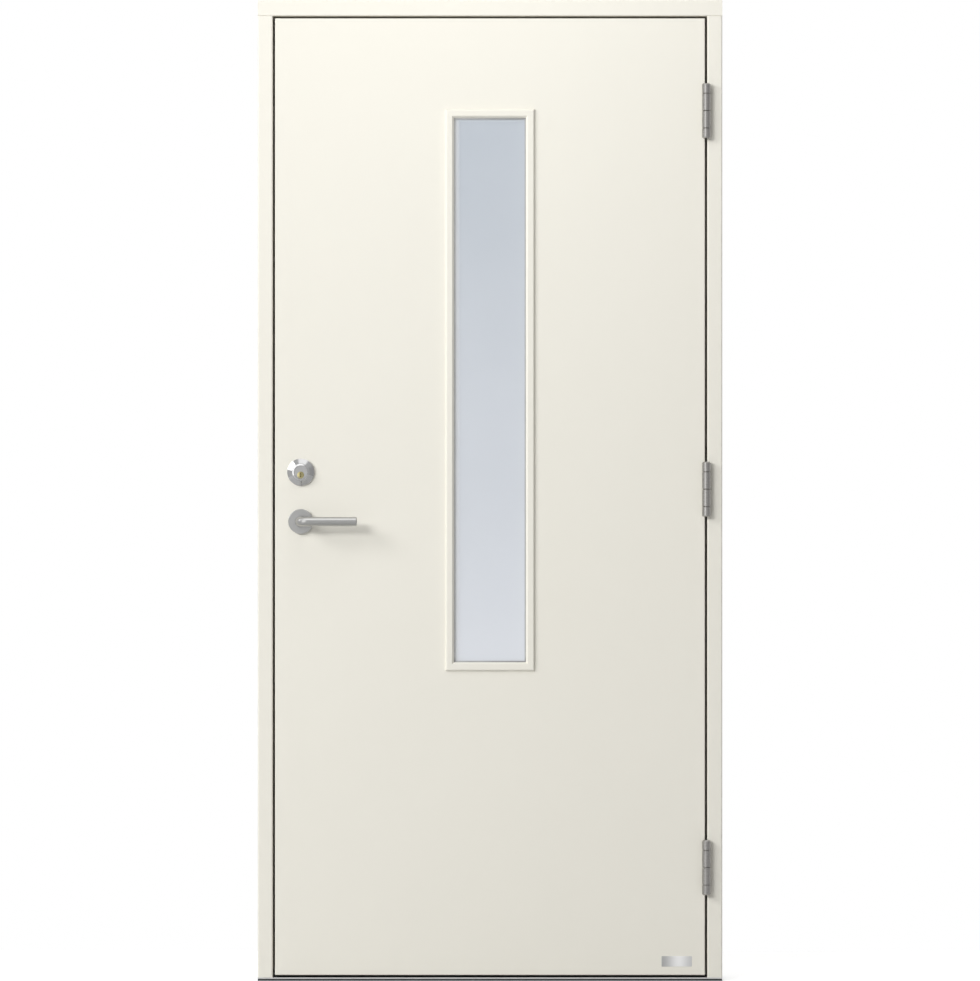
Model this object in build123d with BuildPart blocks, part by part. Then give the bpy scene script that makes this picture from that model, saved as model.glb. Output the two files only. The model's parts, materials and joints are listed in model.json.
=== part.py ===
from build123d import *
import os

# Glazed entrance door, hung on the right to open outwards, in its rebated frame with a low threshold.
# Millimetres, +Z up, the outside towards -Y, origin in the middle of the threshold's underside.

os.makedirs("parts", exist_ok=True)

# Frame: the sizes seen from outside, the depth through the wall, the step from rebate to stop
frame_width = 990.0
frame_height = 2090.0
frame_depth = 105.0
jamb_width = 32.0
head_height = 34.0
stop_step = 17.0
arris = 3.0

# Holes for the screws that fix the jambs in the wall
fixing_radius = 7.0
fixing_end = 225.0
fixing_inner_spacing = 560.0

# Threshold: low at the nose, stepped up behind the leaf
nose_height = 7.5
threshold_height = 25.0
cover_thickness = 3.0
drip_height = 2.2
drip_depth = 8.0
tread_groove_width = 1.6
tread_groove_depth = 0.8
tread_groove_pitch = 9.0
tread_groove_count = 5

# Sealing strips, each with a fin in a saw kerf of the stop
seal_gap = 5.5
seal_clearance = 0.4
seal_width = 8.0
seal_shoulder = 0.3
kerf_width = 3.0
kerf_depth = 6.0
fin_clearance = 0.2

# Leaf: flush with the frame outside, skins over a framed core
leaf_gap = 5.0
leaf_thickness = 62.0
skin_thickness = 4.0
lock_bevel = 3.0
lock_stile_width = 120.0
hinge_stile_width = 70.0
top_rail_height = 110.0
bottom_rail_height = 140.0

# Glazing: the light that shows, its moulded frames and the sealed unit between them
light_width = 153.5
light_height = 1160.0
light_drop = 212.0
bead_width = 18.0
bead_proud = 6.5
bead_round = 4.0
bead_chamfer = 4.0
bead_leg = 8.0
bead_clearance = 0.2
unit_thickness = 54.0
unit_clearance = 3.0
pane_thickness = 6.0
gasket_thickness = 3.0
gasket_lip = 3.0

# Lever handles on roses, joined by a square spindle
backset = 55.0
handle_height = 979.0
rose_radius = 26.5
rose_thickness = 9.0
rose_chamfer = 1.2
lever_radius = 10.0
lever_length = 121.0
lever_reach = 50.0
lever_bend = 14.0
lever_tip_chamfer = 2.0
collar_radius = 12.5
collar_length = 4.0
stub_radius = 8.0
running_clearance = 0.05
shoulder_gap = 0.4
spindle_width = 8.0
spindle_clearance = 0.05
spindle_engagement = 22.0
spindle_room = 1.4

# Key cylinder in its conical ring, with a grooved lip round its face and a thumb-turn inside
cylinder_rise = 105.0
ring_radius = 28.75
ring_edge = 5.0
ring_rise = 14.0
ring_rim_radius = 18.6
ring_groove_width = 0.8
ring_groove_depth = 1.2
ring_lip_rise = 1.4
cylinder_radius = 14.2
cylinder_clearance = 0.2
cylinder_face_drop = 2.4
plug_radius = 7.4
plug_drop = 6.0
plug_proud = 0.4
plug_clearance = 0.05
plug_length = 30.0
keyway_width = 2.2
keyway_height = 9.0
keyway_depth = 18.0
knob_length = 36.0
knob_width = 13.0
knob_rise = 20.0
knob_chamfer = 2.5

# Mortise lock and its strike plate
forend_width = 20.0
forend_thickness = 3.0
forend_overrun = 65.0
bolt_width = 12.0
latch_height = 26.0
deadbolt_height = 32.0
bolt_length = 30.0
bolt_clearance = 0.4
bolt_recess = 0.3
strike_width = 24.0
strike_thickness = 2.5
strike_overrun = 50.0
strike_room = 3.0
strike_pocket = 16.0

# Barrel hinges: knuckles and end caps in one line over the gap, plates let into the edges
knuckle_radius = 9.25
knuckle_length = 37.0
knuckle_chamfer = 1.2
knuckle_stand_off = 0.8
cap_length = 21.7
cap_chamfer = 2.6
cap_seam_chamfer = 1.2
hinge_seam = 0.4
pin_radius = 5.0
pin_length = 30.0
pin_clearance = 0.05
plate_thickness = 2.5
plate_depth = 32.0
plate_length = 100.0
upper_hinge_drop = 198.0
lower_hinge_rise = 230.0

# Depths from outside to inside
frame_outside = -frame_depth / 2
frame_inside = frame_depth / 2
leaf_outside = frame_outside
leaf_inside = leaf_outside + leaf_thickness
leaf_middle = (leaf_outside + leaf_inside) / 2
stop_face = leaf_inside + seal_gap
stop_depth = frame_inside - stop_face
stop_middle = (stop_face + frame_inside) / 2

# Widths and heights of the frame and the leaf
frame_half = frame_width / 2
rebate_half = frame_half - jamb_width
stop_half = rebate_half - stop_step
leaf_half = rebate_half - leaf_gap
head_bottom = frame_height - head_height
stop_bottom = head_bottom - stop_step
leaf_bottom = nose_height + leaf_gap
leaf_top = head_bottom - leaf_gap
leaf_height = leaf_top - leaf_bottom
tread_bottom = nose_height - cover_thickness
seal_half = (stop_half + leaf_half) / 2
seal_top = (stop_bottom + leaf_top) / 2
seal_bottom = (threshold_height + leaf_bottom) / 2

# Places of the glazing, the lock and the hinges
opening_width = light_width + 2 * bead_leg
opening_height = light_height + 2 * bead_leg
light_middle = leaf_top - light_drop - light_height / 2
unit_inset = (leaf_thickness - unit_thickness) / 2
unit_outside = leaf_outside + unit_inset
lock_x = -leaf_half + backset
cylinder_height = handle_height + cylinder_rise
spindle_hole_radius = spindle_width / 2**0.5 + spindle_room
hinge_x = (leaf_half + rebate_half) / 2
hinge_y = leaf_outside - knuckle_radius - knuckle_stand_off
upper_hinge = leaf_top - upper_hinge_drop
lower_hinge = leaf_bottom + lower_hinge_rise
hinge_levels = {"upper": upper_hinge, "middle": (upper_hinge + lower_hinge) / 2, "lower": lower_hinge}
bolt_heights = {handle_height: latch_height, cylinder_height: deadbolt_height}
bolt_slot_width = bolt_width + 2 * bolt_clearance
strike_window_width = bolt_width + 2 * strike_room
middle_plane = Plane.XZ.offset(-leaf_middle)


def save(piece, name):
    """Label a finished piece and write it under its own name."""
    piece.part.label = name
    export_step(piece.part, f"parts/{name}.step")


def span(low_x, high_x, low_y, high_y):
    """Draw the rectangle between two corners on the current sketch."""
    with Locations(((low_x + high_x) / 2, (low_y + high_y) / 2)):
        Rectangle(high_x - low_x, high_y - low_y)


def outwards_from(y):
    """Plane in X and Z at depth y, from which extrusions run outwards."""
    return Plane.XZ.offset(-y)


def lock_edge(y):
    """X of the leaf's lock edge, bevelled so that its inner corner clears the jamb as it swings."""
    return -leaf_half + lock_bevel * (y - leaf_outside) / leaf_thickness


def draw_leaf_section(low_y, high_y, inner_x):
    """Draw the leaf's plan section between two depths, from the bevelled lock edge to inner_x."""
    Polygon(
        (lock_edge(low_y), low_y),
        (inner_x, low_y),
        (inner_x, high_y),
        (lock_edge(high_y), high_y),
        align=None,
    )


def draw_edge_strip(low_y, high_y, start, depth):
    """Draw a strip along the lock edge in plan, from start to start plus depth behind its face."""
    outer = [(lock_edge(low_y) + start, low_y), (lock_edge(high_y) + start, high_y)]
    inner = [(x + depth, y) for x, y in reversed(outer)]
    Polygon(*outer, *inner, align=None)


def cut_cross_kerf(level):
    """Cut the saw kerf for a seal's fin across the current piece, between the jambs, at height level."""
    with Locations((0, stop_face + kerf_depth / 2, level)):
        Box(2 * stop_half, kerf_depth, kerf_width, mode=Mode.SUBTRACT)


def cut_light():
    """Cut the glazing's opening through the current piece of the leaf."""
    with Locations((0, leaf_middle, light_middle)):
        Box(opening_width, leaf_thickness, opening_height, mode=Mode.SUBTRACT)


def cut_lock_holes():
    """Cut the holes for the spindle and the cylinder through the current piece of the leaf."""
    holes = {handle_height: spindle_hole_radius, cylinder_height: cylinder_radius + cylinder_clearance}
    for level, radius in holes.items():
        with Locations((lock_x, leaf_middle, level)):
            Cylinder(radius, leaf_thickness, rotation=(90, 0, 0), mode=Mode.SUBTRACT)


def cut_hinge_plates(plate_x):
    """Let the three hinge plates into the current piece, with their middles at plate_x."""
    with Locations(*[(plate_x, leaf_outside + plate_depth / 2, level) for level in hinge_levels.values()]):
        Box(plate_thickness, plate_depth, plate_length, mode=Mode.SUBTRACT)


# Jambs: an L-shaped section with a seal kerf in the stop, notched over the threshold's step
def make_jamb(side):
    """One jamb, at side -1 or 1, with its rounded arrises and its fixing holes."""
    with BuildPart() as jamb:
        with BuildSketch(Plane.XY.offset(nose_height)):
            Polygon(
                (side * frame_half, frame_outside),
                (side * rebate_half, frame_outside),
                (side * rebate_half, stop_face),
                (side * stop_half, stop_face),
                (side * stop_half, frame_inside),
                (side * frame_half, frame_inside),
                align=None,
            )
        extrude(amount=head_bottom - nose_height)
        upright_edges = jamb.edges().filter_by(Axis.Z).group_by(Axis.Y)
        fillet(upright_edges[0] + upright_edges[-1], arris)
        with Locations((side * frame_half, stop_middle, (nose_height + threshold_height) / 2)):
            Box(frame_width, stop_depth, threshold_height - nose_height, mode=Mode.SUBTRACT)
        with Locations((side * seal_half, stop_face + kerf_depth / 2, frame_height / 2)):
            Box(kerf_width, kerf_depth, frame_height, mode=Mode.SUBTRACT)
        outer_half = frame_height / 2 - fixing_end
        inner_half = fixing_inner_spacing / 2
        with Locations(*[(side * frame_half, stop_middle, frame_height / 2 + rise)
                         for rise in (-outer_half, -inner_half, inner_half, outer_half)]):
            Cylinder(fixing_radius, frame_width, rotation=(0, 90, 0), mode=Mode.SUBTRACT)
    return jamb


with BuildPart() as lock_jamb:
    add(make_jamb(-1).part)
    strike_low = handle_height - strike_overrun
    strike_high = cylinder_height + strike_overrun
    with Locations((-rebate_half, leaf_middle, (strike_low + strike_high) / 2)):
        Box(2 * strike_thickness, strike_width, strike_high - strike_low, mode=Mode.SUBTRACT)
    for level, height in bolt_heights.items():
        with Locations((-rebate_half, leaf_middle, level)):
            Box(2 * strike_pocket, strike_window_width, height + 2 * strike_room, mode=Mode.SUBTRACT)
save(lock_jamb, "lock_jamb")

with BuildPart() as hinge_jamb:
    add(make_jamb(1).part)
    cut_hinge_plates(rebate_half + plate_thickness / 2)
save(hinge_jamb, "hinge_jamb")

# Head: a board across both jambs, with the stop below it between their stops
with BuildPart() as frame_head:
    with BuildSketch(Plane.YZ):
        span(frame_outside, frame_inside, head_bottom, frame_height)
    extrude(amount=frame_half, both=True)
    fillet(frame_head.edges().filter_by(Axis.X).group_by(Axis.Y)[0], arris)
    with BuildSketch(Plane.YZ):
        span(stop_face, frame_inside, stop_bottom, head_bottom)
    extrude(amount=stop_half, both=True)
    fillet(frame_head.edges().filter_by(Axis.X).group_by(Axis.Y)[-1].sort_by(Axis.Z)[0], arris)
    cut_cross_kerf(seal_top)
save(frame_head, "frame_head")

# Threshold: a base with a drip groove under the nose, and a stepped metal cover with tread grooves
with BuildPart() as threshold_base:
    with BuildSketch(Plane.YZ):
        Polygon(
            (frame_outside, 0),
            (frame_inside, 0),
            (frame_inside, threshold_height - cover_thickness),
            (stop_face + cover_thickness, threshold_height - cover_thickness),
            (stop_face + cover_thickness, tread_bottom),
            (frame_outside + drip_depth, tread_bottom),
            (frame_outside + drip_depth, tread_bottom - drip_height),
            (frame_outside, tread_bottom - drip_height),
            align=None,
        )
    extrude(amount=frame_half, both=True)
    cut_cross_kerf(seal_bottom)
save(threshold_base, "threshold_base")

with BuildPart() as threshold_cover:
    with BuildSketch(Plane.YZ):
        Polygon(
            (frame_outside, tread_bottom),
            (frame_outside, nose_height),
            (stop_face, nose_height),
            (stop_face, threshold_height),
            (frame_inside, threshold_height),
            (frame_inside, threshold_height - cover_thickness),
            (stop_face + cover_thickness, threshold_height - cover_thickness),
            (stop_face + cover_thickness, tread_bottom),
            align=None,
        )
        with Locations(((frame_outside + stop_face) / 2, nose_height)):
            with GridLocations(tread_groove_pitch, 1, tread_groove_count, 1):
                Rectangle(tread_groove_width, 2 * tread_groove_depth, mode=Mode.SUBTRACT)
    extrude(amount=frame_half, both=True)
    cut_cross_kerf(seal_bottom)
save(threshold_cover, "threshold_cover")


# Seals: a D-shaped bulb towards the leaf, with a fin in the stop's kerf
def make_seal(start, length):
    """A strip of seal on the plane start, whose local Y runs into the stop, as long as length."""
    proud = seal_gap - seal_clearance
    shoulder = seal_shoulder * proud
    half = seal_width / 2
    fin_half = kerf_width / 2 - fin_clearance
    with BuildPart() as seal:
        with BuildSketch(start):
            with BuildLine():
                Polyline((half, -shoulder), (half, 0), (-half, 0), (-half, -shoulder))
                ThreePointArc((-half, -shoulder), (0, -proud), (half, -shoulder))
            make_face()
            span(-fin_half, fin_half, 0, kerf_depth - fin_clearance)
        extrude(amount=length)
    return seal


for side, name in ((-1, "lock_side_seal"), (1, "hinge_side_seal")):
    foot = Plane((side * seal_half, stop_face, threshold_height), x_dir=(1, 0, 0), z_dir=(0, 0, 1))
    save(make_seal(foot, head_bottom - threshold_height), name)

head_seal_start = Plane((-stop_half, stop_face, seal_top), x_dir=(0, 0, -1), z_dir=(1, 0, 0))
save(make_seal(head_seal_start, 2 * stop_half), "head_seal")

threshold_seal_start = Plane((-stop_half, stop_face, seal_bottom), x_dir=(0, 0, -1), z_dir=(1, 0, 0))
save(make_seal(threshold_seal_start, 2 * stop_half), "threshold_seal")

# Strike plate, let in flush with the lock jamb's rebate, with a window for each bolt
with BuildPart() as strike_plate:
    with BuildSketch(Plane.YZ.offset(-rebate_half)):
        span(leaf_middle - strike_width / 2, leaf_middle + strike_width / 2, strike_low, strike_high)
        for level, height in bolt_heights.items():
            with Locations((leaf_middle, level)):
                Rectangle(strike_window_width, height + 2 * strike_room, mode=Mode.SUBTRACT)
    extrude(amount=-strike_thickness)
save(strike_plate, "strike_plate")


# Hinges: the lower knuckle carries the pin on the jamb, the upper knuckle turns on it with the leaf
def draw_plate_section(plate_x, low_y, high_y):
    """Draw a hinge plate's plan section between two depths, with its middle at plate_x."""
    span(plate_x - plate_thickness / 2, plate_x + plate_thickness / 2, low_y, high_y)


def make_hinge_half(level, plate_x, bottom):
    """Half a hinge: a chamfered knuckle from the height bottom, its neck, and its plate about level."""
    barrel_length = knuckle_length - hinge_seam / 2
    with BuildPart() as half:
        with BuildSketch(Plane.XY.offset(bottom)):
            with Locations((hinge_x, hinge_y)):
                Circle(knuckle_radius)
        extrude(amount=barrel_length)
        chamfer(half.edges().filter_by(GeomType.CIRCLE), knuckle_chamfer)
        with BuildSketch(Plane.XY.offset(bottom + knuckle_chamfer)):
            draw_plate_section(plate_x, hinge_y, leaf_outside + plate_depth)
        extrude(amount=barrel_length - 2 * knuckle_chamfer)
        with BuildSketch(Plane.XY.offset(level - plate_length / 2)):
            draw_plate_section(plate_x, leaf_outside, leaf_outside + plate_depth)
        extrude(amount=plate_length)
    return half


def make_caps(rise, outer_end, seam_end):
    """The three end caps of one kind, from rise above each level, with the ends 0 below and -1 above."""
    with BuildPart() as caps:
        for level in hinge_levels.values():
            with BuildSketch(Plane.XY.offset(level + rise)):
                with Locations((hinge_x, hinge_y)):
                    Circle(knuckle_radius)
            extrude(amount=cap_length)
        for cap in caps.solids():
            rims = cap.edges().filter_by(GeomType.CIRCLE).sort_by(Axis.Z)
            chamfer(rims[outer_end], cap_chamfer)
            chamfer(rims[seam_end], cap_seam_chamfer)
    return caps


for place, level in hinge_levels.items():
    with BuildPart() as frame_half_hinge:
        add(make_hinge_half(level, rebate_half + plate_thickness / 2, level - knuckle_length).part)
        with BuildSketch(Plane.XY.offset(level - knuckle_length / 2)):
            with Locations((hinge_x, hinge_y)):
                Circle(pin_radius)
        extrude(amount=knuckle_length / 2 + pin_length)
    save(frame_half_hinge, f"{place}_hinge_frame_half")
    with BuildPart() as leaf_half_hinge:
        add(make_hinge_half(level, leaf_half - plate_thickness / 2, level + hinge_seam / 2).part)
        with BuildSketch(Plane.XY.offset(level)):
            with Locations((hinge_x, hinge_y)):
                Circle(pin_radius + pin_clearance)
        extrude(amount=knuckle_length, mode=Mode.SUBTRACT)
    save(leaf_half_hinge, f"{place}_hinge_leaf_half")

save(make_caps(-knuckle_length - cap_length, 0, -1), "hinge_bottom_caps")
save(make_caps(knuckle_length, -1, 0), "hinge_top_caps")

# Skins of the leaf, with rounded arrises, the glazing's opening and the lock's holes
with BuildPart() as outer_skin:
    with BuildSketch(Plane.XY.offset(leaf_bottom)):
        draw_leaf_section(leaf_outside, leaf_outside + skin_thickness, leaf_half)
    extrude(amount=leaf_height)
    fillet(outer_skin.faces().sort_by(Axis.Y)[0].edges(), min(arris, skin_thickness / 2))
    cut_light()
    cut_lock_holes()
    cut_hinge_plates(leaf_half - plate_thickness / 2)
save(outer_skin, "outer_skin")

with BuildPart() as inner_skin:
    with BuildSketch(Plane.XY.offset(leaf_bottom)):
        draw_leaf_section(leaf_inside - skin_thickness, leaf_inside, leaf_half)
    extrude(amount=leaf_height)
    fillet(inner_skin.faces().sort_by(Axis.Y)[-1].edges(), min(arris, skin_thickness / 2))
    cut_light()
    cut_lock_holes()
save(inner_skin, "inner_skin")

# Stiles, rails and core between the skins
core_outside = leaf_outside + skin_thickness
core_inside = leaf_inside - skin_thickness
lock_stile_edge = -leaf_half + lock_stile_width
hinge_stile_edge = leaf_half - hinge_stile_width
bottom_rail_top = leaf_bottom + bottom_rail_height
top_rail_bottom = leaf_top - top_rail_height
forend_low = handle_height - forend_overrun
forend_high = cylinder_height + forend_overrun
forend_outside = leaf_middle - forend_width / 2
forend_inside = leaf_middle + forend_width / 2

with BuildPart() as lock_stile:
    with BuildSketch(Plane.XY.offset(leaf_bottom)):
        draw_leaf_section(core_outside, core_inside, lock_stile_edge)
    extrude(amount=leaf_height)
    cut_lock_holes()
    with BuildSketch(Plane.XY.offset(forend_low)):
        draw_edge_strip(forend_outside, forend_inside, 0, forend_thickness)
    extrude(amount=forend_high - forend_low, mode=Mode.SUBTRACT)
    for level, height in bolt_heights.items():
        with Locations((-leaf_half + bolt_length / 2, leaf_middle, level)):
            Box(bolt_length, bolt_slot_width, height + 2 * bolt_clearance, mode=Mode.SUBTRACT)
save(lock_stile, "lock_stile")

with BuildPart() as hinge_stile:
    with BuildSketch(Plane.XY.offset(leaf_bottom)):
        span(hinge_stile_edge, leaf_half, core_outside, core_inside)
    extrude(amount=leaf_height)
    cut_hinge_plates(leaf_half - plate_thickness / 2)
save(hinge_stile, "hinge_stile")

with BuildPart() as bottom_rail:
    with BuildSketch(Plane.XY.offset(leaf_bottom)):
        span(lock_stile_edge, hinge_stile_edge, core_outside, core_inside)
    extrude(amount=bottom_rail_height)
save(bottom_rail, "bottom_rail")

with BuildPart() as top_rail:
    with BuildSketch(Plane.XY.offset(top_rail_bottom)):
        span(lock_stile_edge, hinge_stile_edge, core_outside, core_inside)
    extrude(amount=top_rail_height)
save(top_rail, "top_rail")

with BuildPart() as insulation_core:
    with BuildSketch(Plane.XY.offset(bottom_rail_top)):
        span(lock_stile_edge, hinge_stile_edge, core_outside, core_inside)
    extrude(amount=top_rail_bottom - bottom_rail_top)
    cut_light()
save(insulation_core, "insulation_core")


# Glazing: moulded frames that clamp the sealed unit between gaskets
def draw_ring(outer_width, outer_height, ring_width):
    """Draw a rectangular ring about the middle of the light."""
    with Locations((0, light_middle)):
        Rectangle(outer_width, outer_height)
        Rectangle(outer_width - 2 * ring_width, outer_height - 2 * ring_width, mode=Mode.SUBTRACT)


gasket_outside = unit_outside - gasket_thickness
seat_width = opening_width - 2 * bead_clearance
seat_height = opening_height - 2 * bead_clearance
unit_width = opening_width - 2 * unit_clearance
unit_height = opening_height - 2 * unit_clearance

with BuildPart() as outer_glazing_frame:
    with BuildSketch(outwards_from(leaf_outside)):
        draw_ring(light_width + 2 * bead_width, light_height + 2 * bead_width, bead_width)
    extrude(amount=bead_proud)
    front = outer_glazing_frame.faces().sort_by(Axis.Y)[0]
    rim = front.outer_wire().edges()
    inner_rim = front.inner_wires()[0].edges()
    fillet(rim, bead_round)
    chamfer(inner_rim, bead_chamfer)
    with BuildSketch(outwards_from(gasket_outside)):
        draw_ring(seat_width, seat_height, bead_leg - bead_clearance)
    extrude(amount=gasket_outside - leaf_outside)
save(outer_glazing_frame, "outer_glazing_frame")

with BuildPart() as inner_glazing_frame:
    mirror(outer_glazing_frame.part, about=middle_plane)
save(inner_glazing_frame, "inner_glazing_frame")

with BuildPart() as outer_gasket:
    with BuildSketch(outwards_from(unit_outside)):
        draw_ring(seat_width, seat_height, bead_leg - bead_clearance + gasket_lip)
    extrude(amount=gasket_thickness)
save(outer_gasket, "outer_gasket")

with BuildPart() as inner_gasket:
    mirror(outer_gasket.part, about=middle_plane)
save(inner_gasket, "inner_gasket")

with BuildPart() as outer_pane:
    with BuildSketch(outwards_from(unit_outside + pane_thickness)):
        with Locations((0, light_middle)):
            Rectangle(unit_width, unit_height)
    extrude(amount=pane_thickness)
save(outer_pane, "outer_pane")

with BuildPart() as inner_pane:
    mirror(outer_pane.part, about=middle_plane)
save(inner_pane, "inner_pane")

with BuildPart() as glazing_spacer:
    spacer_depth = unit_thickness - 2 * pane_thickness
    with BuildSketch(outwards_from(leaf_middle + spacer_depth / 2)):
        draw_ring(unit_width, unit_height, bead_leg - unit_clearance + gasket_lip)
    extrude(amount=spacer_depth)
save(glazing_spacer, "glazing_spacer")

# Roses and levers: the lever's stub turns in the rose and holds the spindle's end in a square socket
stub_bore = stub_radius + running_clearance
socket_width = spindle_width + 2 * spindle_clearance

with BuildPart() as outer_rose:
    with BuildSketch(outwards_from(leaf_outside)):
        with Locations((lock_x, handle_height)):
            Circle(rose_radius)
    extrude(amount=rose_thickness)
    chamfer(outer_rose.faces().sort_by(Axis.Y)[0].edges(), rose_chamfer)
    with Locations((lock_x, leaf_outside, handle_height)):
        Cylinder(stub_bore, 2 * rose_thickness, rotation=(90, 0, 0), mode=Mode.SUBTRACT)
save(outer_rose, "outer_rose")

with BuildPart() as inner_rose:
    mirror(outer_rose.part, about=middle_plane)
save(inner_rose, "inner_rose")

stub_end = leaf_outside - shoulder_gap
collar_start = leaf_outside - rose_thickness - shoulder_gap
grip_y = leaf_outside - lever_reach

with BuildPart() as outer_lever:
    with BuildSketch(outwards_from(stub_end)):
        with Locations((lock_x, handle_height)):
            Circle(stub_radius)
    extrude(amount=stub_end - collar_start)
    with BuildSketch(outwards_from(collar_start)):
        with Locations((lock_x, handle_height)):
            Circle(collar_radius)
    extrude(amount=collar_length)
    with BuildLine():
        FilletPolyline(
            (lock_x, collar_start, handle_height),
            (lock_x, grip_y, handle_height),
            (lock_x + lever_length, grip_y, handle_height),
            radius=lever_bend,
        )
    with BuildSketch(outwards_from(collar_start)):
        with Locations((lock_x, handle_height)):
            Circle(lever_radius)
    sweep()
    chamfer(outer_lever.faces().sort_by(Axis.X)[-1].edges(), lever_tip_chamfer)
    with Locations((lock_x, stub_end, handle_height)):
        Box(socket_width, 2 * spindle_engagement, socket_width, mode=Mode.SUBTRACT)
save(outer_lever, "outer_lever")

with BuildPart() as inner_lever:
    mirror(outer_lever.part, about=middle_plane)
save(inner_lever, "inner_lever")

with BuildPart() as spindle:
    with Locations((lock_x, leaf_middle, handle_height)):
        Box(spindle_width, leaf_thickness + 2 * (shoulder_gap + spindle_engagement), spindle_width)
save(spindle, "spindle")

# Key cylinder: a conical ring outside, the cylinder through the leaf, and the key plug low in its face
face_out = ring_rise - cylinder_face_drop
ring_bore = cylinder_radius + cylinder_clearance
lip_radius = ring_rim_radius - ring_groove_width
groove_floor = ring_rise - ring_groove_depth
ring_section = Plane((lock_x, leaf_outside, cylinder_height), x_dir=(1, 0, 0), z_dir=(0, 0, -1))
plug_height = cylinder_height - plug_drop

with BuildPart() as cylinder_ring:
    with BuildSketch(ring_section):
        Polygon(
            (ring_bore, 0),
            (ring_radius, 0),
            (ring_radius, ring_edge),
            (ring_rim_radius, ring_rise),
            (ring_rim_radius, groove_floor),
            (lip_radius, groove_floor),
            (lip_radius, ring_rise),
            (ring_bore, ring_rise + ring_lip_rise),
            align=None,
        )
    revolve(axis=Axis((lock_x, leaf_outside, cylinder_height), (0, 1, 0)))
save(cylinder_ring, "cylinder_ring")

with BuildPart() as cylinder_body:
    with BuildSketch(outwards_from(leaf_inside)):
        with Locations((lock_x, cylinder_height)):
            Circle(cylinder_radius)
    extrude(amount=leaf_thickness + face_out)
    with Locations((lock_x, leaf_outside - face_out, plug_height)):
        Cylinder(plug_radius + plug_clearance, 2 * plug_length, rotation=(90, 0, 0), mode=Mode.SUBTRACT)
save(cylinder_body, "cylinder_body")

with BuildPart() as key_plug:
    with BuildSketch(outwards_from(leaf_outside - face_out + plug_length)):
        with Locations((lock_x, plug_height)):
            Circle(plug_radius)
    extrude(amount=plug_length + plug_proud)
    with Locations((lock_x, leaf_outside - face_out - plug_proud, plug_height)):
        Box(keyway_width, 2 * keyway_depth, keyway_height, mode=Mode.SUBTRACT)
save(key_plug, "key_plug")

# Thumb-turn inside: an oval knob on a plain rose
with BuildPart() as thumbturn_rose:
    with BuildSketch(outwards_from(leaf_inside + rose_thickness)):
        with Locations((lock_x, cylinder_height)):
            Circle(rose_radius)
    extrude(amount=rose_thickness)
    chamfer(thumbturn_rose.faces().sort_by(Axis.Y)[-1].edges(), rose_chamfer)
save(thumbturn_rose, "thumbturn_rose")

with BuildPart() as thumbturn_knob:
    with BuildSketch(outwards_from(leaf_inside + rose_thickness + knob_rise)):
        with Locations((lock_x, cylinder_height)):
            SlotOverall(knob_length, knob_width, rotation=90)
    extrude(amount=knob_rise)
    chamfer(thumbturn_knob.faces().sort_by(Axis.Y)[-1].edges(), knob_chamfer)
save(thumbturn_knob, "thumbturn_knob")

# Lock: a forend flush with the bevelled edge, and the latch and dead bolt drawn back into it
with BuildPart() as lock_forend:
    with BuildSketch(Plane.XY.offset(forend_low)):
        draw_edge_strip(forend_outside, forend_inside, 0, forend_thickness)
    extrude(amount=forend_high - forend_low)
    for level, height in bolt_heights.items():
        with Locations((-leaf_half, leaf_middle, level)):
            Box(bolt_length, bolt_slot_width, height + 2 * bolt_clearance, mode=Mode.SUBTRACT)
save(lock_forend, "lock_forend")

bolt_outside = leaf_middle - bolt_width / 2
bolt_inside = leaf_middle + bolt_width / 2

with BuildPart() as lock_bolts:
    for level, height in bolt_heights.items():
        with BuildSketch(Plane.XY.offset(level - height / 2)):
            draw_edge_strip(bolt_outside, bolt_inside, bolt_recess, bolt_length / 2)
        extrude(amount=height)
save(lock_bolts, "lock_bolts")
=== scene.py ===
import json
import math

import bmesh
import bpy
from mathutils import Matrix, Vector


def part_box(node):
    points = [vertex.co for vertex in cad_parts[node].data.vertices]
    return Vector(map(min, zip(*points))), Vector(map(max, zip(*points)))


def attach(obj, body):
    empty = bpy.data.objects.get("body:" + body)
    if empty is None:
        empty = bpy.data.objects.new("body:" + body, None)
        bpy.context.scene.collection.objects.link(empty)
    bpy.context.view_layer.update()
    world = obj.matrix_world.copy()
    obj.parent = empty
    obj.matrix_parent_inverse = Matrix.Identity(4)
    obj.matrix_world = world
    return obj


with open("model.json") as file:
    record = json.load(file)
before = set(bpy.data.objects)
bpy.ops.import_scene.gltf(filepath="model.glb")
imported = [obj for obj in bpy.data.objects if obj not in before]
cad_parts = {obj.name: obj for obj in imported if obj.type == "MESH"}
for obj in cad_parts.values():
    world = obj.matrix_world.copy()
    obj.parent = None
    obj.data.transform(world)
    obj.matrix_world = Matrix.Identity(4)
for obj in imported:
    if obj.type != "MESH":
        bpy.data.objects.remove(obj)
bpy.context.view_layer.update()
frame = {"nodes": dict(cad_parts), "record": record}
nodes = frame["nodes"]

# Places taken from the frame, in metres
door_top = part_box("frame_head")[1].z
outside_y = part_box("outer_skin")[0].y
inside_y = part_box("inner_skin")[1].y

# Colours, linear
white = (1.0, 1.0, 1.0)
cream = (0.848, 0.825, 0.745)
cream_shade = (0.832, 0.808, 0.727)

# Grain: how fine a noise is along each axis
plain = (1.0, 1.0, 1.0)
even = (700.0, 700.0, 700.0)
along_x = (25.0, 1800.0, 1800.0)
along_z = (1800.0, 1800.0, 25.0)
round_z = (90.0, 90.0, 2400.0)
sprayed = (60.0, 60.0, 60.0)
rolled_upright = (160.0, 160.0, 14.0)
rolled_across = (14.0, 160.0, 160.0)

# The range in which most of a noise lies
noise_range = (0.3, 0.7)


def new_material(name):
    """An empty node material with its shader."""
    material = bpy.data.materials.new(name)
    material.use_nodes = True
    tree = material.node_tree
    return material, tree, tree.nodes["Principled BSDF"]


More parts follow.
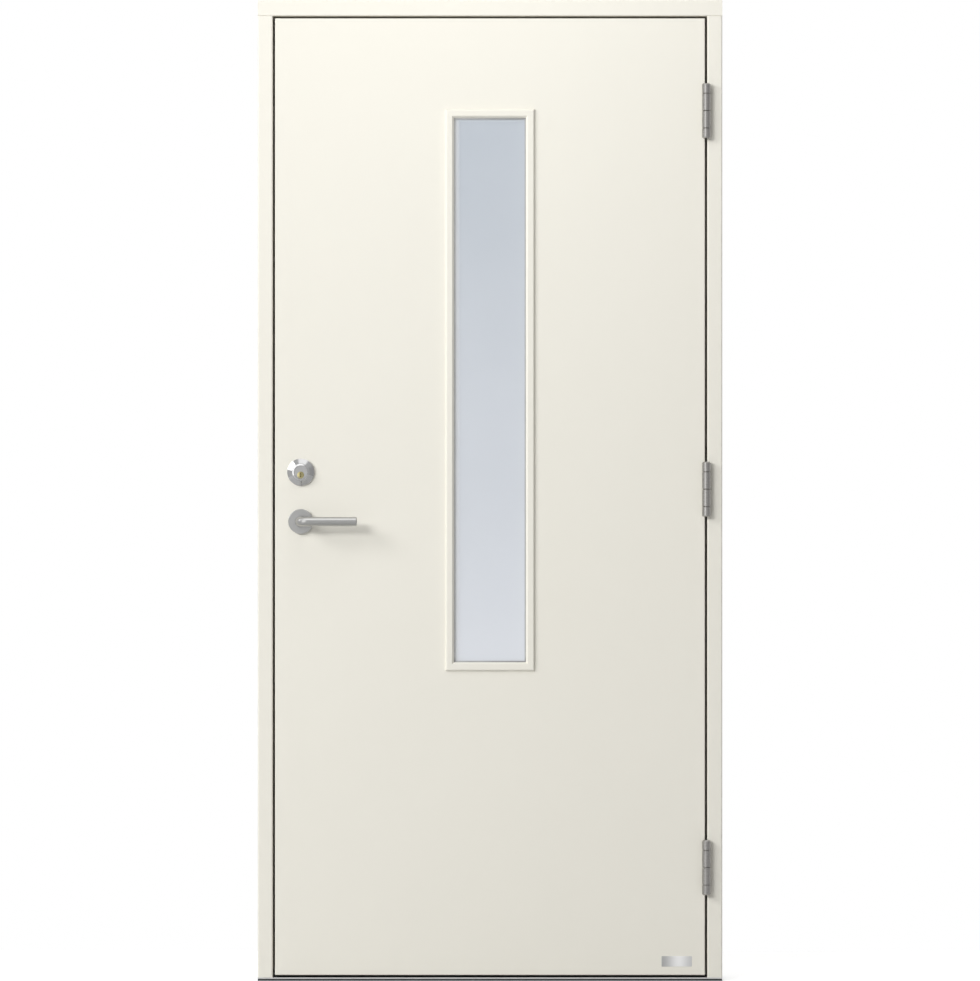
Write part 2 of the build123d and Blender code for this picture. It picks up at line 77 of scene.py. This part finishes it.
def add_node(tree, kind, **values):
    """Add a node and set its plain properties."""
    node = tree.nodes.new(kind)
    for name, value in values.items():
        setattr(node, name, value)
    return node


def feed(tree, socket, value):
    """Set a socket to a number or a colour, or link it to another node's socket."""
    if isinstance(value, bpy.types.NodeSocket):
        tree.links.new(value, socket)
    elif isinstance(value, tuple):
        socket.default_value = (*value, 1.0)
    else:
        socket.default_value = value


def set_look(tree, shader, colour, roughness):
    """Give a shader its colour and its roughness."""
    feed(tree, shader.inputs["Base Color"], colour)
    feed(tree, shader.inputs["Roughness"], roughness)


def calculate(tree, operation, first, second):
    """One sum on two values."""
    node = add_node(tree, "ShaderNodeMath", operation=operation)
    for socket, value in zip(node.inputs, (first, second)):
        feed(tree, socket, value)
    return node.outputs["Value"]


def product(tree, first, *others):
    """The product of a row of values."""
    for value in others:
        first = calculate(tree, "MULTIPLY", first, value)
    return first


def choose(tree, factor, first, second, kind="FLOAT"):
    """Blend from the first value to the second by a factor."""
    node = add_node(tree, "ShaderNodeMix", data_type=kind)
    for name, value in (("A", first), ("B", second), ("Factor", factor)):
        feed(tree, node.inputs[name], value)
    return node.outputs["Result"]


def mixed_colour(tree, factor, first, second):
    """Blend from the first colour to the second by a factor."""
    return choose(tree, factor, first, second, "RGBA")


def ramp(tree, value, low, high, from_low, from_high, smooth=False):
    """Map a value from one range to another, without leaving it."""
    node = add_node(tree, "ShaderNodeMapRange", clamp=True)
    node.interpolation_type = "SMOOTHSTEP" if smooth else "LINEAR"
    node.inputs["From Min"].default_value = from_low
    node.inputs["From Max"].default_value = from_high
    node.inputs["To Min"].default_value = low
    node.inputs["To Max"].default_value = high
    tree.links.new(value, node.inputs["Value"])
    return node.outputs["Result"]


def noise(tree, scale, detail=3.0, grain=plain, roughness=0.5):
    """Noise in the object's own metres, with a grain that may differ from axis to axis."""
    place = add_node(tree, "ShaderNodeTexCoord")
    mapping = add_node(tree, "ShaderNodeMapping")
    mapping.inputs["Scale"].default_value = grain
    texture = add_node(tree, "ShaderNodeTexNoise")
    texture.inputs["Scale"].default_value = scale
    texture.inputs["Detail"].default_value = detail
    texture.inputs["Roughness"].default_value = roughness
    tree.links.new(place.outputs["Object"], mapping.inputs["Vector"])
    tree.links.new(mapping.outputs["Vector"], texture.inputs["Vector"])
    return texture.outputs["Fac"]


def brushed(tree, grain):
    """The fine scratches of brushed metal."""
    return noise(tree, 1.0, detail=6.0, grain=grain, roughness=0.65)


def spread(tree, factor, low, high):
    """Spread a noise over a range of values."""
    return ramp(tree, factor, low, high, *noise_range)


def along(tree, axis, start):
    """How far a surface lies from a start along one axis of the frame, in metres."""
    place = add_node(tree, "ShaderNodeTexCoord")
    split = add_node(tree, "ShaderNodeSeparateXYZ")
    tree.links.new(place.outputs["Object"], split.inputs["Vector"])
    return calculate(tree, "SUBTRACT", split.outputs[axis], start)


def bump(tree, shader, height, strength, distance, below=None):
    """Raise a surface by a height, over an earlier bump if there is one."""
    node = add_node(tree, "ShaderNodeBump")
    node.inputs["Strength"].default_value = strength
    node.inputs["Distance"].default_value = distance
    tree.links.new(height, node.inputs["Height"])
    if below:
        tree.links.new(below, node.inputs["Normal"])
    tree.links.new(node.outputs["Normal"], shader.inputs["Normal"])
    return node.outputs["Normal"]


# Satin paint: faint cloudiness, uneven sheen, the fine orange peel of a sprayed coat
def make_paint(name, roughness, grain):
    material, tree, shader = new_material(name)
    colour = mixed_colour(tree, noise(tree, 3.0, detail=4.0), cream, cream_shade)
    set_look(tree, shader, colour, spread(tree, noise(tree, 45.0, detail=4.0), *roughness))
    waves = bump(tree, shader, noise(tree, 1.0, grain=grain), strength=0.06, distance=0.0005)
    bump(tree, shader, noise(tree, 650.0), strength=0.10, distance=0.0002, below=waves)
    return material


# Brushed and satin metals: fine scratches along one axis in colour, sheen and bump
scratch_strength = 0.12
scratch_depth = 0.0001


def make_metal(name, bright, dull, roughness, grain, scratching=1.0):
    material, tree, shader = new_material(name)
    scratches = brushed(tree, grain)
    colour = mixed_colour(tree, scratches, bright, dull)
    set_look(tree, shader, colour, spread(tree, scratches, *roughness))
    shader.inputs["Metallic"].default_value = 1.0
    bump(tree, shader, scratches, scratch_strength * scratching, scratch_depth)
    return material


# Brass of the key plug, with a slightly domed face
plug_dome = 14.0


def make_brass(name):
    material = make_metal(name, (0.56, 0.50, 0.27), (0.48, 0.43, 0.22), (0.20, 0.30), even, 0.6)
    tree = material.node_tree
    shader = tree.nodes["Principled BSDF"]
    scratched = shader.inputs["Normal"].links[0].from_socket
    low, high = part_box("key_plug")
    middle = (low + high) / 2
    squares = []
    for axis, centre in (("X", middle.x), ("Z", middle.z)):
        offset = along(tree, axis, centre)
        squares.append(calculate(tree, "MULTIPLY", offset, offset))
    fall = calculate(tree, "MULTIPLY", calculate(tree, "ADD", *squares), -plug_dome)
    bump(tree, shader, fall, strength=1.0, distance=1.0, below=scratched)
    return material


# Rubber: matt, with a slightly dusty skin
def set_rubber(tree, shader, colour):
    """Give a shader the matt skin of rubber in a colour."""
    set_look(tree, shader, colour, spread(tree, noise(tree, 300.0), 0.6, 0.85))
    bump(tree, shader, noise(tree, 1500.0, detail=2.0), strength=0.15, distance=0.0001)


def make_rubber(name, first, second):
    material, tree, shader = new_material(name)
    dust = noise(tree, 40.0, detail=5.0)
    set_rubber(tree, shader, mixed_colour(tree, dust, first, second))
    return material


# Glazing gasket: grey rubber, with painted light on the lock side, painted shade on the hinge side
# and painted shade along the foot
gasket_lock_side_painted_light = 0.64
gasket_hinge_side_painted_shade = 0.42
gasket_foot_painted_shade_share = 0.75
gasket_painted_shade_foot = (0.012, 0.020)


def make_gasket(name):
    material, tree, shader = new_material(name)
    low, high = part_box("outer_gasket")
    width = high.x - low.x
    # Painted light on the lock side fading to painted shade on the hinge side, and painted shade
    # along the foot
    across = ramp(tree, along(tree, "X", low.x), gasket_lock_side_painted_light, gasket_hinge_side_painted_shade, 0.0, width)
    foot = ramp(tree, along(tree, "Z", low.z), gasket_foot_painted_shade_share, 1.0, *gasket_painted_shade_foot)
    dust = spread(tree, noise(tree, 40.0, detail=5.0), 0.95, 1.05)
    set_rubber(tree, shader, product(tree, across, foot, dust))
    return material


# Satin glass: etched, a cold tint with a painted reflection that is lighter low down, and painted
# light along the left and top edges over the bead's shadow
glass_tint_low_painted_reflection = (0.84, 0.87, 0.92)
glass_tint_high_painted_reflection = (0.56, 0.605, 0.66)
glass_painted_edge_light = (0.96, 0.98, 1.0)
glass_lap = 0.008
painted_left_glow_width = 0.010
painted_top_glow_width = 0.006
painted_top_glow_share = 0.3


def make_glass(name, painted_left_glow):
    material, tree, shader = new_material(name)
    low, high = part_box("outer_pane")
    # Painted reflection: the tint grows lighter towards the foot of the pane
    rise = ramp(tree, along(tree, "Z", low.z), 0.0, 1.0, 0.0, high.z - low.z)
    cloud = spread(tree, noise(tree, 2.2), -0.10, 0.10)
    body = mixed_colour(tree, calculate(tree, "ADD", rise, cloud), glass_tint_low_painted_reflection, glass_tint_high_painted_reflection)
    # Painted light along the left and top edges, where the bead casts its shadow
    past_left = along(tree, "X", low.x + glass_lap)
    from_left = ramp(tree, past_left, painted_left_glow, 0.0, 0.0, painted_left_glow_width)
    past_top = along(tree, "Z", high.z - glass_lap)
    from_top = ramp(tree, past_top, 0.0, painted_top_glow_share * painted_left_glow, -painted_top_glow_width, 0.0)
    glow = calculate(tree, "MAXIMUM", from_left, from_top)
    sheen = spread(tree, noise(tree, 900.0, detail=2.0), 0.40, 0.50)
    set_look(tree, shader, mixed_colour(tree, glow, body, glass_painted_edge_light), sheen)
    bump(tree, shader, noise(tree, 2200.0, detail=2.0), strength=0.08, distance=0.00005)
    shader.inputs["IOR"].default_value = 1.45
    shader.inputs["Transmission Weight"].default_value = 0.15
    return material


# Threshold cover: aluminium, with a dark non-slip tread between the nose and the step
aluminium = (0.82, 0.82, 0.81)
aluminium_shade = (0.74, 0.74, 0.73)
grit = (0.022, 0.022, 0.022)
grit_shade = (0.034, 0.034, 0.034)
tread_start = (0.0010, 0.0022)
tread_end = (0.0040, 0.0050)


def make_tread(name):
    material, tree, shader = new_material(name)
    past_nose = ramp(tree, along(tree, "Y", outside_y), 0.0, 1.0, *tread_start)
    short_of_step = ramp(tree, along(tree, "Y", inside_y), 1.0, 0.0, *tread_end)
    coated = product(tree, past_nose, short_of_step)
    scratches = brushed(tree, along_x)
    metal = mixed_colour(tree, scratches, aluminium, aluminium_shade)
    coat = mixed_colour(tree, noise(tree, 900.0), grit, grit_shade)
    colour = mixed_colour(tree, coated, metal, coat)
    set_look(tree, shader, colour, choose(tree, coated, 0.38, 0.75))
    feed(tree, shader.inputs["Metallic"], choose(tree, coated, 1.0, 0.0))
    bump(tree, shader, scratches, scratch_strength, scratch_depth)
    return material


# Threshold core: grey plastic, with painted shade inside the drip groove
core_grey = (0.15, 0.15, 0.15)
groove_painted_shade = (0.01, 0.01, 0.01)
groove_mouth = (0.0004, 0.0016)
groove_floor = (0.0090, 0.0120)


def make_core(name):
    material, tree, shader = new_material(name)
    depth = along(tree, "Y", outside_y)
    past_mouth = ramp(tree, depth, 0.0, 1.0, *groove_mouth)
    short_of_floor = ramp(tree, depth, 1.0, 0.0, *groove_floor)
    # Painted shade inside the drip groove
    painted_groove_shade = product(tree, past_mouth, short_of_floor)
    grain = noise(tree, 300.0, detail=4.0)
    shade = calculate(tree, "MAXIMUM", painted_groove_shade, spread(tree, grain, 0.0, 0.2))
    colour = mixed_colour(tree, shade, core_grey, groove_painted_shade)
    set_look(tree, shader, colour, spread(tree, grain, 0.5, 0.65))
    bump(tree, shader, grain, strength=0.2, distance=0.0002)
    return material


# Foam and cap plastic: an even grain in colour, sheen and bump
def make_plastic(name, first, second, roughness, scale):
    material, tree, shader = new_material(name)
    grain = noise(tree, scale, detail=4.0)
    colour = mixed_colour(tree, grain, first, second)
    set_look(tree, shader, colour, spread(tree, grain, *roughness))
    bump(tree, shader, grain, strength=0.2, distance=0.0002)
    return material


# Finishes, with two colours and a range of roughness each
leaf_paint = make_paint("cream_leaf_paint", (0.38, 0.48), sprayed)
jamb_paint = make_paint("cream_jamb_paint", (0.42, 0.54), rolled_upright)
head_paint = make_paint("cream_head_paint", (0.42, 0.54), rolled_across)
lever_steel = make_metal(
    "brushed_lever_steel", (0.495, 0.495, 0.485), (0.44, 0.44, 0.43), (0.26, 0.36), along_x)
rose_steel = make_metal(
    "brushed_rose_steel", (0.545, 0.545, 0.535), (0.485, 0.485, 0.48), (0.32, 0.44), even)
hinge_steel = make_metal(
    "satin_hinge_steel", (0.43, 0.42, 0.405), (0.38, 0.37, 0.355), (0.24, 0.34), round_z)
lock_steel = make_metal(
    "lock_steel", (0.55, 0.55, 0.54), (0.47, 0.47, 0.46), (0.28, 0.42), along_z)
ring_steel = make_metal(
    "polished_ring_steel", (0.64, 0.64, 0.64), (0.60, 0.60, 0.60), (0.08, 0.14), even, 0.2)
cylinder_steel = make_metal(
    "cylinder_steel", (0.61, 0.61, 0.61), (0.55, 0.55, 0.55), (0.28, 0.38), even, 0.5)
spacer_metal = make_metal(
    "spacer_metal", (0.5, 0.5, 0.5), (0.42, 0.42, 0.42), (0.4, 0.5), along_z)
screw_steel = make_metal(
    "screw_steel", (0.58, 0.58, 0.57), (0.50, 0.50, 0.49), (0.25, 0.35), even, 0.5)
brass = make_brass("plug_brass")
tread_metal = make_tread("threshold_aluminium")
grey_plastic = make_core("grey_threshold_core")
seal_rubber = make_rubber("dark_seal_rubber", (0.022, 0.021, 0.018), (0.035, 0.033, 0.029))
gasket_rubber = make_gasket("grey_gasket_rubber")
satin_glass = make_glass("satin_glass", painted_left_glow=1.0)
inner_glass = make_glass("inner_satin_glass", painted_left_glow=0.0)
foam = make_plastic(
    "insulation_foam", (0.78, 0.72, 0.55), (0.70, 0.64, 0.47), (0.7, 0.9), scale=900.0)
cap_plastic = make_plastic("cream_cap_plastic", cream, cream_shade, (0.35, 0.45), scale=200.0)

finish_of_slot = {
    "leaf_paint": leaf_paint,
    "edge_paint": jamb_paint,
    "frame_paint": jamb_paint,
    "bead_paint": leaf_paint,
    "foam": foam,
    "satin_glass": satin_glass,
    "spacer_metal": spacer_metal,
    "gasket_rubber": gasket_rubber,
    "seal_rubber": seal_rubber,
    "threshold_metal": tread_metal,
    "threshold_core": grey_plastic,
    "handle_steel": rose_steel,
    "hinge_steel": hinge_steel,
    "lock_steel": lock_steel,
    "ring_chrome": ring_steel,
    "cylinder_steel": cylinder_steel,
    "plug_brass": brass,
}
own_finish = {
    "frame_head": head_paint,
    "outer_lever": lever_steel,
    "inner_lever": lever_steel,
    "inner_pane": inner_glass,
}


def dress(obj, material):
    """Give an object one material."""
    obj.data.materials.clear()
    obj.data.materials.append(material)


for row in frame["record"]["subparts"]:
    name = row["node"]
    dress(nodes[name], own_finish.get(name, finish_of_slot[row["material_slot"]]))


def add_object(name, builder, material):
    """Turn a bmesh into an object of one material."""
    mesh = bpy.data.meshes.new(name)
    builder.to_mesh(mesh)
    builder.free()
    obj = bpy.data.objects.new(name, mesh)
    bpy.context.scene.collection.objects.link(obj)
    dress(obj, material)
    return obj


def add_piece(name, builder, material, body):
    """Turn a bmesh into a piece that rides on a body."""
    piece = add_object(name, builder, material)
    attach(piece, body)


# A bare metal plate, low on the hinge side of the leaf
plate_size = Vector((0.0646, 0.0006, 0.0222))
plate_low = Vector((0.3655, outside_y - plate_size.y, 0.0308))
plate_corner = 0.0012
plate_edge = 0.0002
tolerance = 1e-6


def round_edges(builder, edges, radius, steps):
    """Round some edges of a bmesh."""
    bmesh.ops.bevel(builder, geom=edges, offset=radius, segments=steps, affect="EDGES", profile=0.5)


def make_bare_plate():
    builder = bmesh.new()
    bmesh.ops.create_cube(builder, size=1.0)
    bmesh.ops.scale(builder, vec=plate_size, verts=builder.verts)
    bmesh.ops.translate(builder, vec=plate_low + plate_size / 2, verts=builder.verts)
    corners = [edge for edge in builder.edges
               if abs(edge.verts[0].co.y - edge.verts[1].co.y) > tolerance]
    round_edges(builder, corners, plate_corner, steps=4)
    front = [edge for edge in builder.edges
             if all(abs(vert.co.y - plate_low.y) < tolerance for vert in edge.verts)]
    round_edges(builder, front, plate_edge, steps=2)
    return builder


# Silvery foil on the plate, with a painted highlight right of its middle that fades towards its ends
foil_painted_left_end = 0.46
foil_painted_highlight = 0.95
foil_painted_right_end = 0.66
foil_painted_highlight_place = 0.58 * plate_size.x
foil_metal = 0.3


def make_foil(name):
    material, tree, shader = new_material(name)
    across = along(tree, "X", plate_low.x)
    # Painted highlight across the plate, brightest right of its middle
    rising = ramp(tree, across, foil_painted_left_end, foil_painted_highlight, 0.0, foil_painted_highlight_place, smooth=True)
    falling = ramp(tree, across, foil_painted_highlight, foil_painted_right_end, foil_painted_highlight_place, plate_size.x, smooth=True)
    shade = calculate(tree, "MINIMUM", rising, falling)
    lines = noise(tree, 1.0, detail=5.0, grain=along_z, roughness=0.6)
    set_look(tree, shader, shade, spread(tree, lines, 0.30, 0.42))
    shader.inputs["Metallic"].default_value = foil_metal
    bump(tree, shader, lines, strength=0.08, distance=0.0001)
    return material


add_piece("bare_plate", make_bare_plate(), make_foil("plate_foil"), "leaf")


# Round shapes that stand on a surface
circle_steps = 28


def pose_on(place, normal):
    """The pose of something drawn in X and Y that stands on a surface."""
    return Matrix.Translation(place) @ Vector(normal).to_track_quat("Z", "Y").to_matrix().to_4x4()


def circle_points(radius, steps=circle_steps):
    """Points round a circle."""
    turns = [2 * math.pi * step / steps for step in range(steps)]
    return [Vector((radius * math.cos(turn), radius * math.sin(turn), 0.0)) for turn in turns]


def add_loop(builder, pose, points, height):
    """A loop of vertices at a height over a surface."""
    return [builder.verts.new(pose @ (point + Vector((0.0, 0.0, height)))) for point in points]


def join_loops(builder, first, second):
    """A band of faces between two loops of as many vertices."""
    for step in range(len(first)):
        builder.faces.new((first[step - 1], first[step], second[step], second[step - 1]))


# Countersunk screws with a cross recess, in the hinge plates, the lock's forend and the strike plate
head_radius = 0.0045
head_rise = 0.0003
head_bevel = 0.0005
recess_depth = 0.0016
arm_length = 0.0024
arm_width = 0.0006
plate_thickness = 0.0025
plate_end_margin = 0.012
plate_pattern = ((-0.0055, 0.038), (0.0055, 0.014), (-0.0055, -0.014), (0.0055, -0.038))


def cross_points():
    """The outline of a cross recess, one arm after another."""
    points = []
    for turn in range(4):
        spin = Matrix.Rotation(turn * math.pi / 2, 3, "Z")
        for x, y in ((arm_width, arm_width), (arm_width, arm_length), (-arm_width, arm_length)):
            points.append(spin @ Vector((x, y, 0.0)))
    return points


def add_head(builder, place, normal, radius, rise, outline):
    """A screw head on a surface: a bevelled disc with a recess of an outline sunk in it."""
    pose = pose_on(place, normal)
    foot = add_loop(builder, pose, circle_points(radius), 0.0)
    top = add_loop(builder, pose, circle_points(radius - head_bevel), rise)
    mouth = add_loop(builder, pose, outline, rise)
    floor = add_loop(builder, pose, outline, rise - recess_depth)
    join_loops(builder, foot, top)
    join_loops(builder, floor, mouth)
    builder.faces.new(floor)
    rims = [builder.edges.get((loop[step - 1], loop[step]))
            for loop in (top, mouth) for step in range(len(loop))]
    bmesh.ops.triangle_fill(builder, use_beauty=True, edges=rims)


def add_screw(builder, place, normal):
    """One countersunk screw."""
    add_head(builder, place, normal, head_radius, head_rise, cross_points())


def add_hinge_screws(builder, kind, x, normal):
    """The screws of the three hinge plates of one kind, on the plane x."""
    for level in ("upper", "middle", "lower"):
        low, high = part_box(f"{level}_hinge_{kind}_half")
        middle = Vector((x, (outside_y + high.y) / 2, (low.z + high.z) / 2))
        for inwards, up in plate_pattern:
            add_screw(builder, middle + Vector((0.0, inwards, up)), normal)


def make_leaf_screws():
    builder = bmesh.new()
    add_hinge_screws(builder, "leaf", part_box("hinge_stile")[1].x, (1, 0, 0))
    low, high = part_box("lock_forend")
    outer_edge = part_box("outer_skin")[0].x
    inner_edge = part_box("inner_skin")[0].x
    slope = (inner_edge - outer_edge) / (inside_y - outside_y)
    for z in (low.z + plate_end_margin, high.z - plate_end_margin):
        place = Vector(((outer_edge + inner_edge) / 2, (low.y + high.y) / 2, z))
        add_screw(builder, place, (-1, slope, 0))
    return builder


def make_frame_screws():
    builder = bmesh.new()
    rebate_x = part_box("upper_hinge_frame_half")[1].x - plate_thickness
    add_hinge_screws(builder, "frame", rebate_x, (-1, 0, 0))
    low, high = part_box("strike_plate")
    for z in (low.z + plate_end_margin, high.z - plate_end_margin):
        add_screw(builder, Vector((high.x, (low.y + high.y) / 2, z)), (1, 0, 0))
    return builder


add_piece("leaf_screws", make_leaf_screws(), screw_steel, "leaf")
add_piece("frame_screws", make_frame_screws(), screw_steel, "frame")


# Set screws with a hexagon socket, under the neck of each lever
set_screw_radius = 0.0026
set_screw_rise = 0.0002
set_screw_socket = 0.0014
set_screw_reach = 0.0215
neck_radius = 0.0100


def make_set_screws():
    builder = bmesh.new()
    low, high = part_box("outer_rose")
    middle = (low + high) / 2
    hexagon = circle_points(set_screw_socket, steps=6)
    for y in (outside_y - set_screw_reach, inside_y + set_screw_reach):
        place = Vector((middle.x, y, middle.z - neck_radius))
        add_head(builder, place, (0, 0, -1), set_screw_radius, set_screw_rise, hexagon)
    return builder


add_piece("lever_set_screws", make_set_screws(), screw_steel, "lever")


# Domed caps over the frame's fixing holes, on the inner faces of the stops
cap_radius = 0.0098
cap_rise = 0.0018
cap_rings = 6
stop_y = 0.015
fixing_heights = (0.225, 0.765, 1.325, 1.865)


def add_cap(builder, pose):
    """One domed cap, ring by ring up to its flat middle."""
    loops = []
    for ring in range(cap_rings):
        angle = math.pi / 2 * ring / cap_rings
        points = circle_points(cap_radius * math.cos(angle))
        loops.append(add_loop(builder, pose, points, cap_rise * math.sin(angle)))
    for lower, upper in zip(loops, loops[1:]):
        join_loops(builder, lower, upper)
    builder.faces.new(loops[-1])


def make_fixing_caps():
    builder = bmesh.new()
    y = (stop_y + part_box("threshold_cover")[1].y) / 2
    for x, side in ((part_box("lock_jamb")[1].x, 1), (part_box("hinge_jamb")[0].x, -1)):
        for z in fixing_heights:
            add_cap(builder, pose_on((x, y, z), (side, 0, 0)))
    for face in builder.faces:
        face.smooth = True
    return builder


add_piece("fixing_caps", make_fixing_caps(), cap_plastic, "frame")


# A pale floor under the door, white to the camera but for the door's shadow
floor_half = 3.0
floor_back = 0.6
floor_drop = 0.0005
floor_grey = (0.62, 0.62, 0.62)
floor_roughness = 0.9
floor_glow = 0.58


def make_floor_finish(name):
    material, tree, shader = new_material(name)
    set_look(tree, shader, floor_grey, floor_roughness)
    rays = add_node(tree, "ShaderNodeLightPath")
    glow = calculate(tree, "MULTIPLY", rays.outputs["Is Camera Ray"], floor_glow)
    feed(tree, shader.inputs["Emission Color"], white)
    feed(tree, shader.inputs["Emission Strength"], glow)
    return material


def make_floor():
    builder = bmesh.new()
    bmesh.ops.create_grid(builder, x_segments=1, y_segments=1, size=floor_half)
    bmesh.ops.translate(builder, vec=(0.0, floor_back - floor_half, -floor_drop), verts=builder.verts)
    floor = add_object("floor", builder, make_floor_finish("pale_floor"))


make_floor()


# Studio: the level of the light in front and behind, and of what metal and glass mirror
fill_level = 0.265
behind_level = 1.0
sheen_level = 0.57
top_sheen = 1.25
top_dim_share = 0.6
side_sheen = 1.05
wedge_sheen = 3.0
right_dim_share = 0.3

# Edges of the studio's softboxes, as parts of a direction, or as angles to the left of straight out
behind_edge = (0.05, 0.35)
top_foot = (0.58, 0.74)
top_dim = (-0.30, -0.16)
top_end = (-0.08, -0.01)
top_left_far = (-0.62, -0.42)
top_left_near = (-0.35, -0.12)
top_narrowing = (-0.20, -0.13)
top_right = (0.42, 0.60)
side_start = (math.radians(6), math.radians(18))
side_end = (math.radians(46), math.radians(58))
side_height = (0.55, 0.75)
wedge_turn = math.radians(148)
wedge_width = (0.932, 0.945)
wedge_front = (-0.20, -0.14)
wedge_back = (-0.03, 0.01)
right_edge = (0.45, 0.95)
right_height = (0.35, 0.65)


def fade_in(tree, value, edge, level=1.0):
    """Rise smoothly from nothing to a level across an edge."""
    return ramp(tree, value, 0.0, level, *edge, smooth=True)


def fade_out(tree, value, edge, level=0.0):
    """Fall smoothly from full to a level across an edge."""
    return ramp(tree, value, 1.0, level, *edge, smooth=True)


def overhead_box(tree, x, y, z):
    """A softbox over the door, dimmer and shorter on the left near the door's plane."""
    rise = fade_in(tree, z, top_foot, top_sheen)
    dim = fade_out(tree, y, top_dim, top_dim_share)
    end = fade_out(tree, y, top_end)
    near_plane = ramp(tree, y, 0.0, 1.0, *top_narrowing)
    left = choose(tree, near_plane, fade_in(tree, x, top_left_far), fade_in(tree, x, top_left_near))
    right = fade_out(tree, x, top_right)
    return product(tree, rise, dim, end, left, right)


def left_box(tree, x, y, slant):
    """A tall softbox in front of the door on the left."""
    leftwards = calculate(tree, "MULTIPLY", x, -1.0)
    outwards = calculate(tree, "MULTIPLY", y, -1.0)
    bearing = calculate(tree, "ARCTAN2", leftwards, outwards)
    start = fade_in(tree, bearing, side_start, side_sheen)
    end = fade_out(tree, bearing, side_end)
    return product(tree, start, end, fade_out(tree, slant, side_height))


def bright_wedge(tree, x, y, z):
    """A narrow bright wedge up on the left, close to the door's plane."""
    in_plane = add_node(tree, "ShaderNodeCombineXYZ")
    tree.links.new(x, in_plane.inputs["X"])
    tree.links.new(z, in_plane.inputs["Z"])
    unit = add_node(tree, "ShaderNodeVectorMath", operation="NORMALIZE")
    tree.links.new(in_plane.outputs["Vector"], unit.inputs[0])
    toward = add_node(tree, "ShaderNodeVectorMath", operation="DOT_PRODUCT")
    toward.inputs[1].default_value = (math.cos(wedge_turn), 0.0, math.sin(wedge_turn))
    tree.links.new(unit.outputs["Vector"], toward.inputs[0])
    width = ramp(tree, toward.outputs["Value"], 0.0, wedge_sheen, *wedge_width)
    front = ramp(tree, y, 0.0, 1.0, *wedge_front)
    back = ramp(tree, y, 1.0, 0.0, *wedge_back)
    return product(tree, width, front, back)


def even_sheen(tree, x, slant):
    """The studio's even level, dimmer far to the right at the height of the door."""
    far_right = fade_in(tree, x, right_edge, right_dim_share * sheen_level)
    dimming = product(tree, far_right, fade_out(tree, slant, right_height))
    return calculate(tree, "SUBTRACT", sheen_level, dimming)


# World: white to the camera and behind the door, a studio in front that only metal and glass mirror
def make_world():
    world = bpy.data.worlds.new("studio")
    bpy.context.scene.world = world
    world.use_nodes = True
    tree = world.node_tree
    background = tree.nodes["Background"]
    place = add_node(tree, "ShaderNodeTexCoord")
    split = add_node(tree, "ShaderNodeSeparateXYZ")
    tree.links.new(place.outputs["Generated"], split.inputs["Vector"])
    x, y, z = split.outputs
    slant = calculate(tree, "ABSOLUTE", z, 0.0)
    sheen = even_sheen(tree, x, slant)
    boxes = (overhead_box(tree, x, y, z), left_box(tree, x, y, slant), bright_wedge(tree, x, y, z))
    for box in boxes:
        sheen = calculate(tree, "ADD", sheen, box)
    rays = add_node(tree, "ShaderNodeLightPath")
    front = choose(tree, rays.outputs["Is Glossy Ray"], fill_level, sheen)
    surroundings = choose(tree, fade_in(tree, y, behind_edge), front, behind_level)
    seen = choose(tree, rays.outputs["Is Camera Ray"], surroundings, 1.0)
    feed(tree, background.inputs["Color"], white)
    feed(tree, background.inputs["Strength"], seen)


make_world()


# Lamps: two soft ones on the left and a small one over the door
lamp_aim = Vector((0.0, 0.0, 1.1))


def make_lamp(name, place, size, power):
    """A soft lamp, which metal doesn't mirror."""
    data = bpy.data.lights.new(name, "AREA")
    data.shape = "ELLIPSE"
    data.size, data.size_y = size
    data.energy = power
    lamp = bpy.data.objects.new(name, data)
    lamp.location = place
    lamp.rotation_euler = (lamp_aim - place).to_track_quat("-Z", "Y").to_euler()
    lamp.visible_glossy = False
    bpy.context.scene.collection.objects.link(lamp)


make_lamp("key", place=Vector((-4.7, -7.9, 3.65)), size=(4.2, 1.7), power=364.0)
make_lamp("side", place=Vector((-5.1, -3.5, 3.9)), size=(2.6, 2.6), power=172.0)
make_lamp("top", place=Vector((0.0, -1.0, 2.6)), size=(1.17, 1.17), power=4.8)


# Camera: straight on, the door as tall as the picture
camera_distance = 10.0
camera_reach = 100.0
sensor_size = 36.0


def make_camera():
    data = bpy.data.cameras.new("camera")
    data.sensor_fit = "VERTICAL"
    data.sensor_height = sensor_size
    data.lens = sensor_size * camera_distance / door_top
    data.clip_end = camera_reach
    camera = bpy.data.objects.new("camera", data)
    camera.location = (0.0, outside_y - camera_distance, door_top / 2)
    camera.rotation_euler = (math.pi / 2, 0.0, 0.0)
    bpy.context.scene.collection.objects.link(camera)
    bpy.context.scene.camera = camera


make_camera()
bpy.context.scene.view_settings.view_transform = "Standard"
